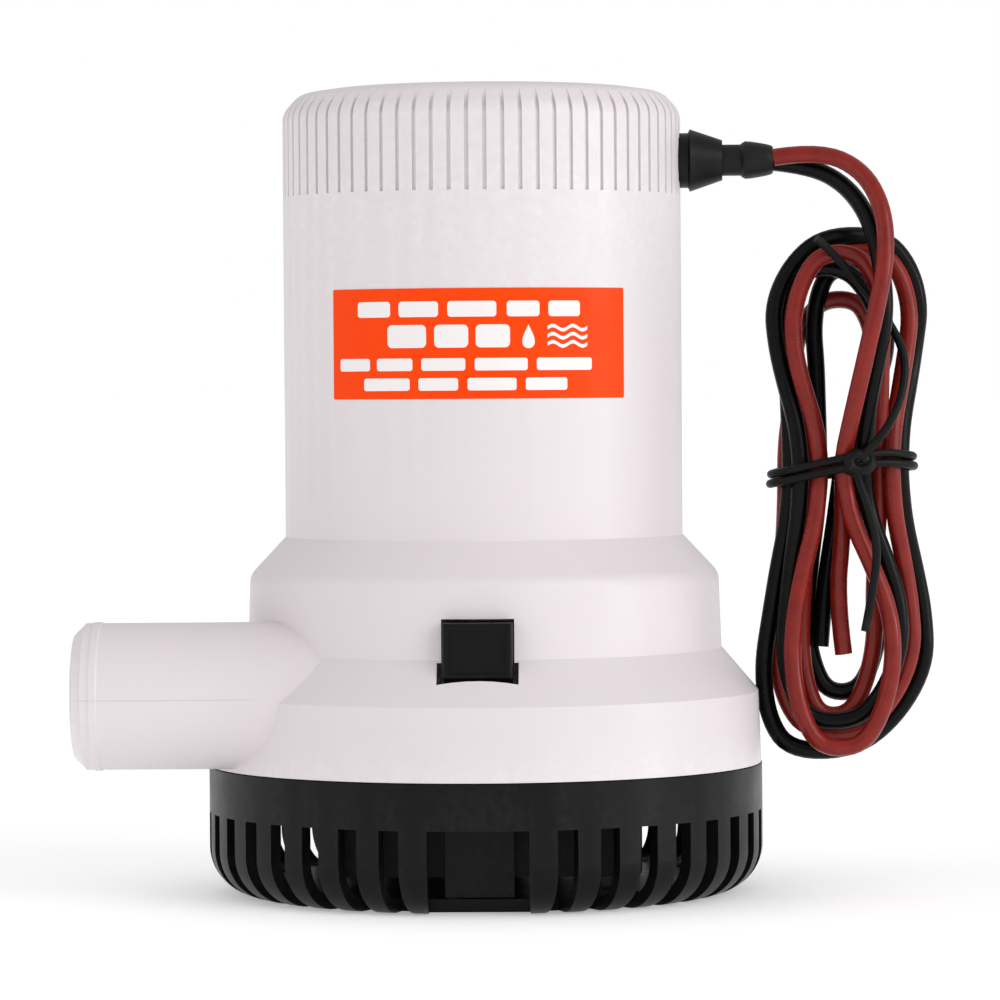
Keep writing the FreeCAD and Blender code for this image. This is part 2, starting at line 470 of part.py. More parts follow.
def make_motor():
    can = turned("motor_can", [
        ("4.5", "deck_high"), ("motor_radius", "deck_high"), ("motor_radius", "motor_top"),
        ("motor_radius - motor_wall", "motor_top"), ("motor_radius - motor_wall", "bearing_low"),
        ("bearing_radius + 1.6", "bearing_low"), ("bearing_radius + 1.6", "bearing_low + 4"),
        ("bearing_radius", "bearing_low + 4"), ("bearing_radius", "bearing_low"),
        ("4.5", "bearing_low")])
    for way in (-1, 1):
        solid(can, f"screw_hole_{way + 1}", "SubtractiveCylinder", Radius="motor_screw + 0.05",
              Height="6", Base_y=f"{way} * motor_screw_at", Base_z="deck_high - 1")
    screws = [pan_screw(FreeCAD.Vector(0, way * dim("motor_screw_at"), dim("deck_low")),
                        2.8, 1.7, dim("motor_screw"), 7.5) for way in (-1, 1)]
    plain("motor_screws", Part.makeCompound(screws))
    bearing("lower_bearing", "bearing_low")
    bearing("upper_bearing", "bearing_top")
    turned("shaft_seal", [
        ("shaft_radius + 0.04", "deck_low + 0.4"), ("shaft_radius + 1.4", "deck_low"),
        ("seal_radius - 0.05", "deck_low"), ("seal_radius - 0.05", "deck_high - 0.2"),
        ("seal_radius - 1.2", "deck_high - 0.2"), ("seal_radius - 1.2", "deck_low + 1.2"),
        ("shaft_radius + 1.6", "deck_low + 1.2"), ("shaft_radius + 1.6", "deck_low + 3"),
        ("shaft_radius + 0.04", "deck_low + 2.6")])
    for name, middle in (("magnet_left", 180), ("magnet_right", 0)):
        magnet = new_part(name, "Part::Cut")
        pieces = []
        for label, radius in (("outer", "motor_radius - motor_wall - 0.05"),
                              ("inner", "magnet_inner")):
            sector = doc.addObject("Part::Cylinder", f"{name}_{label}")
            bind(sector, Radius=radius, Height="core_top - core_low - 1", Angle="magnet_span",
                 Base_z="core_low + 0.5")
            sector.Placement.Rotation = spun(Z, middle - dim("magnet_span") / 2)
            pieces.append(sector)
        magnet.Base, magnet.Tool = pieces
    bell = turned("end_bell", [
        ("motor_radius - 6", "motor_top + 0.1"), ("motor_radius", "motor_top + 0.1"),
        ("motor_radius", "motor_top + 2"), ("motor_radius - 1", "motor_top + 7"),
        ("21.6", "motor_top + 7"), ("bearing_radius + 2.5", "bearing_top + 1"),
        ("bearing_radius + 2.5", "bell_top"),
        ("shaft_radius + 1", "bell_top"), ("shaft_radius + 1", "bearing_top + 5.2"),
        ("bearing_radius", "bearing_top + 5.2"), ("bearing_radius", "bearing_top"),
        ("bearing_radius + 1.5", "bearing_top - 1.5"), ("motor_radius - 6", "motor_top + 5")])
    for way in (-1, 1):
        solid(bell, f"terminal_slot_{way + 1}", "SubtractiveBox", Length="2.4", Width="5",
              Height="20", Base_x="17", Base_y=f"{way} * 9 - 2.5", Base_z="motor_top")
    side = dim("brush_side")
    for letter, way in (("a", -1), ("b", 1)):
        tube = Part.makeBox(11, side + 2, side + 2,
                            FreeCAD.Vector(9.2, -side / 2 - 1, dim("brush_z") - side / 2 - 1))
        slot = Part.makeBox(12, side + 0.2, side + 0.2,
                            FreeCAD.Vector(9, -side / 2 - 0.1, dim("brush_z") - side / 2 - 0.1))
        brush = Part.makeBox(8.5, side, side,
                             FreeCAD.Vector(7.0, -side / 2, dim("brush_z") - side / 2))
        face = Part.makeCylinder(dim("comm_radius") + 0.3, 10, Z * (dim("brush_z") - 5))
        coil = spring_coil(15.6, 20.1, 1.45, 0.3, 5, dim("brush_z"))
        for name, shape in ((f"brush_holder_{letter}", tube.cut(slot)),
                            (f"brush_{letter}", brush.cut(face)),
                            (f"brush_spring_{letter}", coil)):
            shape.rotate(FreeCAD.Vector(), Z, 90 + 90 * way)
            plain(name, shape)
    turned("motor_cushion", [
        ("22", "motor_top + 7"), ("27", "motor_top + 7"), ("27", "bell_top + 2.5"),
        ("22", "bell_top + 2.5")])
    for letter, way in (("red", -1), ("black", 1)):
        blade = Part.makeBox(0.8, 4, 13, FreeCAD.Vector(17.8, way * 9 - 2, dim("motor_top") + 6))
        plain(f"terminal_{letter}", blade)
    body = Part.makeCylinder(3.2, 9, FreeCAD.Vector(-6.8, -4.5, dim("bell_top") + 3.3), Y)
    rims = [edge for edge in body.Edges if edge.Length > 15]
    plain("suppression_capacitor", body.makeFillet(0.8, rims))


def spring_coil(start, end, radius, wire, turns, height):
    """A small compression spring of square wire along +X; wire is half the wire's width."""
    helix = Part.makeHelix((end - start - 2 * wire) / turns, end - start - 2 * wire, radius)
    corners = [FreeCAD.Vector(radius + out * wire, 0, up * wire)
               for out, up in ((-1, -1), (1, -1), (1, 1), (-1, 1), (-1, -1))]
    section = Part.makePolygon(corners)
    coil = Part.Wire(helix).makePipeShell([section], True, True)
    coil.rotate(FreeCAD.Vector(), Y, 90)
    coil.translate(FreeCAD.Vector(start + wire, 0, height))
    return coil


# ---------------------------------------------------------------- cable gland and label
def make_gland():
    """The strain relief on +X: a cone nut, its lock nut and washer, and a rubber sleeve."""
    axis_at = FreeCAD.Vector(0, 0, dim("gland_z"))
    seat = dim("can_radius") - 0.6
    washer_at, stem_end, sleeve_end = 34.3, 31.2, 30.4

    def lathe(points):
        corners = [FreeCAD.Vector(x, 0, r) for x, r in points]
        face = Part.Face(Part.makePolygon(corners + corners[:1]))
        shape = face.revolve(FreeCAD.Vector(), X, 360)
        shape.translate(axis_at)
        return shape

    sleeve_radius = 3.2
    bore = sleeve_radius + 0.03
    stem = dim("gland_hole") - 0.1
    plain("gland_nut", lathe([
        (stem_end, bore), (47.6, bore), (47.8, 4.0), (41.4, 6.2), (41.0, 5.45),
        (seat, 5.45), (seat, stem), (stem_end, stem)]))
    plain("gland_washer", lathe([(washer_at, stem + 0.1), (washer_at, 6.6),
                                 (washer_at - 1, 6.6), (washer_at - 1, stem + 0.1)]))
    locknut = Part.Face(hexagon(12, 0)).extrude(Z * 1.7)
    locknut = locknut.cut(Part.makeCylinder(stem + 0.03, 4, Z * -1))
    locknut.rotate(FreeCAD.Vector(), Y, 90)
    locknut.translate(axis_at + X * (washer_at - 2.75))
    plain("gland_locknut", locknut)
    plain("gland_sleeve", lathe([(sleeve_end, 0), (sleeve_end, sleeve_radius),
                                 (52.2, sleeve_radius), (52.2, 4.2), (54.6, 4.1), (58.0, 3.7),
                                 (58.0, 0)]))


def make_label():
    """A thin wrap-round label on the front of the can."""
    label = new_part("label", "Part::Cut")
    pieces = []
    for name, radius in (("face", "can_radius + label_thick"), ("back", "can_radius + 0.01")):
        sector = doc.addObject("Part::Cylinder", f"label_{name}")
        bind(sector, Radius=radius, Height="label_high - label_low", Angle="label_span",
             Base_z="label_low")
        sector.Placement.Rotation = spun(Z, -90 - dim("label_span") / 2)
        pieces.append(sector)
    label.Base, label.Tool = pieces


# ---------------------------------------------------------------- wires
RED_LEAD = [(58, -1.8, 145.3), (67.0, -2.6, 146.6), (75.4, -6.2, 142.6), (79.4, -10.4, 134.4),
            (79.6, -12.6, 124.6), (77.4, -13.1, 114.0), (75.0, -12.8, 103.6),
            (72.8, -11.8, 94.2), (71.2, -8.6, 86.4), (70.6, -5.0, 80.0)]
BLACK_LEAD = [(58, 1.8, 144.5), (65.8, 1.0, 143.6), (72.6, -2.6, 139.4), (76.8, -7.2, 132.6),
              (78.8, -8.9, 124.0), (79.7, -9.3, 114.6), (78.0, -9.3, 105.4),
              (76.2, -9.2, 96.8), (75.6, -8.2, 89.0), (75.0, -5.4, 82.4)]
RED_INSIDE = [(30.1, -1.6, 145.2), (27.4, -1.9, 144.9), (24.8, -3.2, 142.6), (22.6, -5.4, 139.4),
              (20.4, -7.6, 135.6), (18.6, -8.8, 131.9)]
BLACK_INSIDE = [(30.1, 1.6, 144.6), (27.4, 1.8, 143.9), (25.0, 3.4, 141.4), (22.8, 5.8, 138.4),
                (20.2, 7.8, 135.0), (18.6, 8.8, 131.9)]
TIE_UP = [(74.4, -12.4, 85.6), (79.2, -12.4, 91.2), (83.0, -10.6, 98.4), (83.6, -8.2, 106.4),
          (79.8, -5.8, 113.6), (74.2, -5.4, 120.4), (69.6, -7.6, 126.0), (65.8, -9.6, 129.3)]
TIE_DOWN = [(73.0, -12.4, 84.0), (76.2, -11.8, 76.6), (77.8, -10.6, 68.4), (76.9, -9.6, 60.0),
            (75.0, -9.4, 51.4)]
HANK_EDGE = [(56.9, 84.0), (56.6, 96.0), (56.0, 110.0), (58.4, 120.6), (63.4, 127.6),
             (73.2, 132.4), (82.6, 130.2), (87.6, 121.0), (87.4, 107.0), (85.0, 84.0),
             (87.4, 68.0), (89.9, 51.0), (85.0, 36.8), (76.4, 27.0), (69.4, 23.8),
             (61.6, 26.4), (56.6, 36.4), (55.2, 44.6), (55.3, 58.0), (56.4, 72.0)]


def rounded_tube(points, radius, label):
    """A tube along straight runs joined by the largest tangent arcs that the runs allow."""
    corners = [FreeCAD.Vector(*point) for point in points]
    edges, radii, at = [], [], corners[0]
    for before, corner, after in zip(corners, corners[1:], corners[2:]):
        back, ahead = before - corner, after - corner
        reach = 0.45 * min(back.Length, ahead.Length)
        half_turn = (math.pi - back.getAngle(ahead)) / 2
        bend = reach / math.tan(half_turn)
        back.normalize()
        ahead.normalize()
        middle = back + ahead
        middle.normalize()
        start, end = corner + back * reach, corner + ahead * reach
        apex = corner + middle * (math.hypot(bend, reach) - bend)
        edges += [Part.LineSegment(at, start).toShape(), Part.Arc(start, apex, end).toShape()]
        radii.append(round(bend, 1))
        at = end
    edges.append(Part.LineSegment(at, corners[-1]).toShape())
    spine = Part.Wire(edges)
    first = corners[1] - corners[0]
    section = Part.Wire(Part.makeCircle(radius, corners[0], first))
    tube = spine.makePipeShell([section], True, False)
    expected = math.pi * radius ** 2 * spine.Length
    print(f"{label}: length {spine.Length:.1f}, bend radii {radii}, "
          f"volume ratio {tube.Volume / expected:.4f}")
    return tube


def make_wires():
    wire = dim("wire_radius")
    plain("lead_red", rounded_tube(RED_LEAD, wire, "lead_red"))
    plain("lead_black", rounded_tube(BLACK_LEAD, wire, "lead_black"))
    thin = dim("inner_wire_radius")
    plain("inner_lead_red", rounded_tube(RED_INSIDE, thin, "inner_lead_red"))
    plain("inner_lead_black", rounded_tube(BLACK_INSIDE, thin, "inner_lead_black"))
    front, depth = dim("hank_front"), dim("hank_depth")
    edge = Part.BSplineCurve()
    edge.interpolate([FreeCAD.Vector(x, front, z) for x, z in HANK_EDGE], PeriodicFlag=True)
    hank = Part.Face(Part.Wire(edge.toShape())).extrude(Y * depth)
    plain("wire_hank", hank)
    band_low, band_high = 82.2, 85.4
    outer = Part.makeBox(31.2, depth + 3.4, band_high - band_low,
                         FreeCAD.Vector(55.3, front - 1.7, band_low))
    inner = Part.makeBox(28.4, depth + 0.4, 6, FreeCAD.Vector(56.7, front - 0.2, band_low - 1))
    band = outer.makeFillet(1.2, [e for e in outer.Edges if abs(e.tangentAt(0).z) > 0.9])
    knot = Part.makeSphere(2.9, FreeCAD.Vector(73.8, front - 3.8, 84.6))
    tails = [rounded_tube(points, dim("tie_radius"), label)
             for label, points in (("tie tail up", TIE_UP), ("tie tail down", TIE_DOWN))]
    plain("hank_tie", band.cut(inner).multiFuse([knot] + tails))


# ---------------------------------------------------------------- build, check and write
make_strainer()
make_latch("latch_front", -1)
make_latch("latch_rear", 1)
make_casing()
make_cap()
make_cover()
make_rotor()
make_motor()
make_gland()
make_label()
make_wires()
doc.recompute()

failed = [thing.Name for thing in doc.Objects
          if "Invalid" in thing.State or "Error" in thing.State]
broken = [name for name, thing in parts.items()
          if thing.Shape.isNull() or not thing.Shape.isValid() or thing.Shape.Volume <= 0]
if failed or broken:
    raise RuntimeError(f"failed objects {failed}, broken shapes {broken}")

os.makedirs("parts", exist_ok=True)
for name, thing in parts.items():
    thing.Shape.exportStep(os.path.join("parts", name + ".step"))
print(f"{len(parts)} sub-parts written")
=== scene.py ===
"""Looks for the bilge pump: smooth moulded shells, wires, tie, label print, materials, floor and light.

Metres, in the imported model's frame: +Z up, nozzle along -X, gland along +X, label towards -Y.
"""

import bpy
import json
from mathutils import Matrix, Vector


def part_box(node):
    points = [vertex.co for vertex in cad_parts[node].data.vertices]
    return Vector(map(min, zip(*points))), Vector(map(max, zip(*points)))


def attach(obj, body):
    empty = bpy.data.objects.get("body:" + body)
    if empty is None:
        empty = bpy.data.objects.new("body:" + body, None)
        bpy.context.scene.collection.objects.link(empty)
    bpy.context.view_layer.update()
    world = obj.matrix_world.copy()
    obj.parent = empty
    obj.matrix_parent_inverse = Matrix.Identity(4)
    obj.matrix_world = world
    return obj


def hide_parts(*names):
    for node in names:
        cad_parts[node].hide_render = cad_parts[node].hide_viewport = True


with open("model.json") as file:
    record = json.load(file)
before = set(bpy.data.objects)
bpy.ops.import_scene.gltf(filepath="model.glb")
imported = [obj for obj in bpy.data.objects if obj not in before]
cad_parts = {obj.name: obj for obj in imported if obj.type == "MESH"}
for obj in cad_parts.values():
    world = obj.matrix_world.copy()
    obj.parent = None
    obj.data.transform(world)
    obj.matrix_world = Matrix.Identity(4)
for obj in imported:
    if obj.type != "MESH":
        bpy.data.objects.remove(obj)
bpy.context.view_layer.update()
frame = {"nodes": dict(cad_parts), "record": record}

import json
import math

import bmesh
import bpy
from mathutils import Quaternion, Vector

MM = 0.001


# ---------------------------------------------------------------- materials
# Places of the sockets that ShaderNodeMix uses for colours
MIX_AMOUNT, MIX_FIRST, MIX_SECOND, MIX_RESULT = 0, 6, 7, 2


class Nodes:
    """A node material with short calls for the few nodes that the finishes share."""

    def __init__(self, name):
        self.material = bpy.data.materials.new(name)
        self.material.use_nodes = True
        self.tree = self.material.node_tree
        self.shader = self.tree.nodes["Principled BSDF"]
        self.where = self.add("ShaderNodeTexCoord").outputs["Object"]

    def add(self, kind, **settings):
        node = self.tree.nodes.new(kind)
        for key, value in settings.items():
            setattr(node, key, value)
        return node

    def link(self, source, target):
        self.tree.links.new(source, target)

    def noise(self, cells, detail, rough=0.55, stretch=(1, 1, 1)):
        """Fractal noise with so many cells per metre, stretched along the axes."""
        mapping = self.add("ShaderNodeMapping")
        mapping.inputs["Scale"].default_value = stretch
        self.link(self.where, mapping.inputs["Vector"])
        node = self.add("ShaderNodeTexNoise")
        node.inputs["Scale"].default_value = cells
        node.inputs["Detail"].default_value = detail
        node.inputs["Roughness"].default_value = rough
        self.link(mapping.outputs["Vector"], node.inputs["Vector"])
        return node.outputs["Fac"]

    def spread(self, value, low, high, start=0.3, end=0.7):
        """Maps a value between start and end to low and high."""
        node = self.add("ShaderNodeMapRange")
        node.inputs["From Min"].default_value = start
        node.inputs["From Max"].default_value = end
        node.inputs["To Min"].default_value = low
        node.inputs["To Max"].default_value = high
        self.link(value, node.inputs["Value"])
        return node.outputs["Result"]

    def product(self, first, second):
        node = self.add("ShaderNodeMath", operation="MULTIPLY")
        self.link(first, node.inputs[0])
        self.link(second, node.inputs[1])
        return node.outputs[0]

    def mix(self, amount, first, second):
        """Blends a colour, a tuple or a socket, towards a second one, a tuple."""
        node = self.add("ShaderNodeMix", data_type="RGBA")
        self.link(amount, node.inputs[MIX_AMOUNT])
        if isinstance(first, tuple):
            node.inputs[MIX_FIRST].default_value = (*first, 1.0)
        else:
            self.link(first, node.inputs[MIX_FIRST])
        node.inputs[MIX_SECOND].default_value = (*second, 1.0)
        return node.outputs[MIX_RESULT]

    def blotches(self, base, other, cells, detail):
        """The base colour with soft blotches of another one."""
        return self.mix(self.spread(self.noise(cells, detail), 0.0, 1.0), base, other)

    def edges(self):
        """How much a surface bulges: 1 on worn outer edges."""
        pointed = self.add("ShaderNodeNewGeometry").outputs["Pointiness"]
        return self.spread(pointed, 0.0, 1.0, start=0.52, end=0.6)

    def parting_line(self, height, beyond, half_width):
        """1 on a level line at a height, on the -X side of a place, and 0 elsewhere."""
        core = half_width * 0.3
        fade = 0.004
        place = self.add("ShaderNodeSeparateXYZ")
        self.link(self.where, place.inputs[0])
        away = self.add("ShaderNodeMath", operation="SUBTRACT")
        self.link(place.outputs["Z"], away.inputs[0])
        away.inputs[1].default_value = height
        size = self.add("ShaderNodeMath", operation="ABSOLUTE")
        self.link(away.outputs[0], size.inputs[0])
        line = self.spread(size.outputs[0], 1.0, 0.0, core, half_width)
        side = self.spread(place.outputs["X"], 1.0, 0.0, beyond - fade, beyond)
        return self.product(line, side)

    def bump(self, height, depth, strength, below=None):
        """Relief of the given depth in metres, on top of the relief below."""
        node = self.add("ShaderNodeBump")
        node.inputs["Strength"].default_value = strength
        node.inputs["Distance"].default_value = depth
        self.link(height, node.inputs["Height"])
        if below is not None:
            self.link(below, node.inputs["Normal"])
        return node.outputs["Normal"]

    def finish(self, color, roughness, normal=None, **constants):
        for socket, value in (("Base Color", color), ("Roughness", roughness), ("Normal", normal)):
            if value is not None:
                self.link(value, self.shader.inputs[socket])
        for name, value in constants.items():
            self.shader.inputs[name.replace("_", " ")].default_value = value
        return self.material


def moulded(name, base, dark, rough=(0.3, 0.42), grain=(2600, 4e-6), worn=None, coat=0.0,
            gloss=0.5, parting=None):
    """Moulded plastic: faint flow mottling, fine grain, uneven gloss and paler worn edges.

    grain is its cells per metre and its depth. parting is what NOZZLE_PARTING gives.
    """
    look = Nodes(name)
    color = look.blotches(base, dark, cells=45, detail=4)
    if parting:
        *line, line_color = parting
        color = look.mix(look.parting_line(*line), color, line_color)
    if worn:
        patches = look.spread(look.noise(cells=600, detail=5), 0.1, 0.8)
        color = look.mix(look.product(look.edges(), patches), color, worn)
    roughness = look.spread(look.noise(cells=130, detail=5, rough=0.6), *rough)
    waves = look.bump(look.noise(cells=110, detail=2), depth=2.5e-5, strength=0.25)
    grain_cells, grain_depth = grain
    fine = look.noise(cells=grain_cells, detail=2, rough=0.5)
    normal = look.bump(fine, depth=grain_depth, strength=0.6, below=waves)
    return look.finish(color, roughness, normal, Coat_Weight=coat, Coat_Roughness=0.12,
                    Specular_IOR_Level=gloss)


def metal(name, base, dark, rough=(0.24, 0.4), stretch=(1, 1, 1), grain=900):
    """Bare metal: brushed or turned lines, stains and a slightly uneven polish."""
    look = Nodes(name)
    lines = look.noise(cells=grain, detail=4, rough=0.6, stretch=stretch)
    color = look.blotches(base, dark, cells=160, detail=5)
    normal = look.bump(lines, depth=6e-6, strength=0.5)
    return look.finish(color, look.spread(lines, *rough), normal, Metallic=1.0)


def rubber(name, base, dark, rough=(0.5, 0.68), grain=1500, gloss=0.3):
    """Dull elastic or sintered material with fine pores and uneven tone."""
    look = Nodes(name)
    color = look.blotches(base, dark, cells=240, detail=5)
    roughness = look.spread(look.noise(cells=420, detail=4), *rough)
    normal = look.bump(look.noise(cells=grain, detail=3), depth=1.2e-5, strength=0.6)
    return look.finish(color, roughness, normal, Specular_IOR_Level=gloss)


def insulation(name, base, dark, dust, gloss):
    """PVC wire insulation: fine die marks, dull patches and a little dust on top."""
    look = Nodes(name)
    scuffs = look.spread(look.noise(cells=900, detail=6, rough=0.7), 0.0, 0.22, start=0.58, end=0.78)
    color = look.mix(scuffs, look.blotches(base, dark, cells=260, detail=5), dust)
    roughness = look.spread(look.noise(cells=340, detail=4), 0.22, 0.34)
    normal = look.bump(look.noise(cells=800, detail=4, rough=0.6), depth=1.2e-5, strength=0.5)
    return look.finish(color, roughness, normal, Specular_IOR_Level=gloss)


MOUNTS = {mount["name"]: mount for mount in frame["record"]["mounts"]}
NOZZLE_HEIGHT = MOUNTS["discharge_nozzle"]["pos_m"][2]
# The nozzle's faint parting line: its height, where it starts along -X, half its width, its colour
NOZZLE_PARTING = (NOZZLE_HEIGHT, -0.042, 0.00022, (0.655, 0.608, 0.622))

# Each finish: its kind and its settings, colours as linear (red, green, blue)
FINISHES = {
    "white_plastic": (moulded, dict(base=(0.750, 0.700, 0.716), dark=(0.732, 0.682, 0.698),
                                    rough=(0.34, 0.44), grain=(2400, 2e-6),
                                    worn=(0.82, 0.79, 0.80), gloss=0.42,
                                    parting=NOZZLE_PARTING)),
    "black_plastic": (moulded, dict(base=(0.0036, 0.0035, 0.0039), dark=(0.0024, 0.0024, 0.0027),
                                    rough=(0.30, 0.40), grain=(3000, 6e-6),
                                    worn=(0.013, 0.013, 0.014), gloss=0.15)),
    "gland_plastic": (moulded, dict(base=(0.0045, 0.0044, 0.0048), dark=(0.0032, 0.0032, 0.0035),
                                    rough=(0.34, 0.46), grain=(2600, 6e-6),
                                    worn=(0.018, 0.018, 0.02), gloss=0.2)),
    "label_film": (moulded, dict(base=(1.0, 0.064, 0.0010), dark=(0.97, 0.057, 0.0008),
                                 rough=(0.32, 0.4), grain=(3000, 1e-6), gloss=0.1)),
    "label_ink": (moulded, dict(base=(0.90, 0.87, 0.86), dark=(0.86, 0.83, 0.82),
                                rough=(0.32, 0.42), grain=(3000, 1e-6), gloss=0.2)),
    "gland_rubber": (rubber, dict(base=(0.0075, 0.0075, 0.008), dark=(0.005, 0.005, 0.0055),
                                  rough=(0.42, 0.56), gloss=0.25)),
    "seal_rubber": (rubber, dict(base=(0.02, 0.02, 0.022), dark=(0.012, 0.012, 0.013))),
    "foam_rubber": (rubber, dict(base=(0.07, 0.07, 0.072), dark=(0.03, 0.03, 0.032),
                                 rough=(0.8, 0.95), grain=700)),
    "red_wire": (insulation, dict(base=(0.250, 0.0135, 0.0075), dark=(0.180, 0.0085, 0.0050),
                                  dust=(0.40, 0.06, 0.045), gloss=0.3)),
    "black_wire": (insulation, dict(base=(0.0022, 0.0022, 0.0025), dark=(0.0015, 0.0015, 0.0017),
                                    dust=(0.012, 0.012, 0.013), gloss=0.14)),
    "tie_plastic": (moulded, dict(base=(0.0026, 0.0029, 0.0026), dark=(0.002, 0.0022, 0.002),
                                  rough=(0.36, 0.5), grain=(2200, 6e-6),
                                  worn=(0.018, 0.018, 0.016), gloss=0.16)),
    "stainless": (metal, dict(base=(0.60, 0.59, 0.57), dark=(0.48, 0.47, 0.45))),
    "zinc_steel": (metal, dict(base=(0.55, 0.56, 0.56), dark=(0.43, 0.44, 0.45),
                               rough=(0.3, 0.48), stretch=(1, 1, 0.05))),
    "bearing_steel": (metal, dict(base=(0.62, 0.62, 0.61), dark=(0.5, 0.5, 0.5),
                                  rough=(0.14, 0.28))),
    "spring_steel": (metal, dict(base=(0.5, 0.49, 0.47), dark=(0.36, 0.35, 0.33))),
    "lamination_steel": (metal, dict(base=(0.3, 0.3, 0.31), dark=(0.17, 0.16, 0.16),
                                     rough=(0.4, 0.6), stretch=(0.02, 0.02, 1), grain=2600)),
    "brass": (metal, dict(base=(0.72, 0.52, 0.22), dark=(0.52, 0.36, 0.14))),
    "copper_bar": (metal, dict(base=(0.72, 0.36, 0.2), dark=(0.48, 0.22, 0.12),
                               rough=(0.2, 0.36), stretch=(0.05, 0.05, 1))),
    "copper_wire": (metal, dict(base=(0.62, 0.24, 0.09), dark=(0.42, 0.14, 0.05),
                                rough=(0.22, 0.4), stretch=(1, 1, 0.1), grain=1800)),
    "ferrite": (rubber, dict(base=(0.09, 0.09, 0.095), dark=(0.05, 0.05, 0.055),
                             rough=(0.6, 0.8), grain=900)),
    "carbon": (rubber, dict(base=(0.05, 0.045, 0.042), dark=(0.025, 0.024, 0.024),
                            rough=(0.5, 0.7), grain=1400)),
    "motor_plastic": (moulded, dict(base=(0.05, 0.05, 0.052), dark=(0.03, 0.03, 0.032),
                                    rough=(0.45, 0.6), grain=(1500, 1e-5),
                                    worn=(0.12, 0.12, 0.12))),
    "impeller_plastic": (moulded, dict(base=(0.032, 0.032, 0.035), dark=(0.02, 0.02, 0.022),
                                       rough=(0.35, 0.5), grain=(1800, 8e-6),
                                       worn=(0.1, 0.1, 0.1))),
    "capacitor_body": (moulded, dict(base=(0.33, 0.12, 0.03), dark=(0.24, 0.08, 0.02),
                                     rough=(0.15, 0.3), grain=(900, 1e-5), coat=0.5)),
}


def make_materials():
    return {name: kind(name, **settings) for name, (kind, settings) in FINISHES.items()}


def wear(piece, material):
    """Gives a piece one material in place of any that it has."""
    piece.data.materials.clear()
    piece.data.materials.append(material)


# ---------------------------------------------------------------- meshes
SHARP_ANGLE = math.radians(35)


def new_mesh(name, shape):
    """An object for a finished bmesh."""
    mesh = bpy.data.meshes.new(name)
    shape.normal_update()
    shape.to_mesh(mesh)
    shape.free()
    piece = bpy.data.objects.new(name, mesh)
    bpy.context.scene.collection.objects.link(piece)
    return piece


def smooth(piece):
    """Smooth shading, but for the edges that turn by more than SHARP_ANGLE."""
    for face in piece.data.polygons:
        face.use_smooth = True
    piece.data.set_sharp_from_angle(angle=SHARP_ANGLE)


# ---------------------------------------------------------------- wires
TIE_HEIGHT = 0.084
WIRE = 0.0035
RED_LEAD = [(0.058, -0.0018, 0.1453), (0.067, -0.0026, 0.1466), (0.0754, -0.0062, 0.1426),
            (0.0794, -0.0104, 0.1344), (0.0796, -0.0126, 0.1246), (0.0774, -0.0131, 0.1140),
            (0.0750, -0.0128, 0.1036), (0.0728, -0.0118, 0.0942), (0.0712, -0.0086, 0.0864)]
BLACK_LEAD = [(0.058, 0.0018, 0.1445), (0.0658, 0.0010, 0.1436), (0.0726, -0.0026, 0.1394),
              (0.0768, -0.0072, 0.1326), (0.0788, -0.0089, 0.1240), (0.0797, -0.0093, 0.1146),
              (0.0780, -0.0093, 0.1054), (0.0762, -0.0092, 0.0968), (0.0756, -0.0082, 0.0890)]
# Each half turn of the hank, in mm: where it leaves the tie and where it comes back (x, y), then
# the loop's left and right edge and the depth of each, its end's height, and its end's lean in X.
RED_TURNS = [
    ((71.3, -5.6), (66.6, -4.8), (61.4, -6.0), (80.6, -6.0), 28.4, -0.6),
    ((66.6, -4.8), (78.6, -2.0), (61.8, -5.4), (79.0, -3.4), 126.2, 0.4),
    ((78.6, -2.0), (64.8, 0.6), (63.4, 0.9), (77.4, 0.6), 34.4, -1.0),
    ((64.8, 0.6), (80.9, -4.6), (60.0, 4.2), (84.2, 1.2), 127.4, 1.8),
    ((80.9, -4.6), (60.2, 3.6), (59.0, 4.2), (84.9, 0.9), 31.0, -2.6),
    ((60.2, 3.6), (71.4, -1.9), (62.4, 8.4), (77.4, 4.4), 117.2, 1.2),
]
BLACK_TURNS = [
    ((75.2, -5.6), (62.8, -4.2), (60.2, -2.7), (82.4, -2.6), 33.4, -2.0),
    ((62.8, -4.2), (82.8, -1.0), (58.2, -2.6), (86.2, 5.2), 129.8, 1.6),
    ((82.8, -1.0), (61.0, -0.4), (56.8, 0.5), (87.8, 5.0), 27.2, -5.2),
    ((61.0, -0.4), (74.6, -1.6), (60.4, 0.4), (78.8, 0.5), 123.4, -1.4),
    ((74.6, -1.6), (66.8, 3.8), (64.6, 4.9), (78.6, 4.9), 38.8, -0.4),
    ((66.8, 3.8), (71.6, 2.1), (66.4, 4.6), (80.4, 8.0), 123.4, -1.0),
]
RED_TAIL = [(0.0712, -0.0012, 0.0700), (0.0700, 0.0002, 0.0580), (0.0714, 0.0006, 0.0466)]
BLACK_TAIL = [(0.0698, 0.0036, 0.0720), (0.0678, 0.0036, 0.0600), (0.0668, 0.0028, 0.0480)]
# How a half turn opens: (share of its height, share of the way out to the loop's edge)
OPENING = [(0.05, 0.0), (0.2, 0.18), (0.36, 0.62), (0.52, 0.98), (0.70, 1.06), (0.88, 0.84),
           (1.0, 0.42)]
# Shares of a half turn's height: where its depth has reached the edge's, and where its leaning starts
DEPTH_REACHED = 0.5
MIDWAY = 0.6
# How far towards their mean the depths of its two edges have gone at its end, and how its lean grows
MEETING = 0.6
LEAN_POWER = 1.5


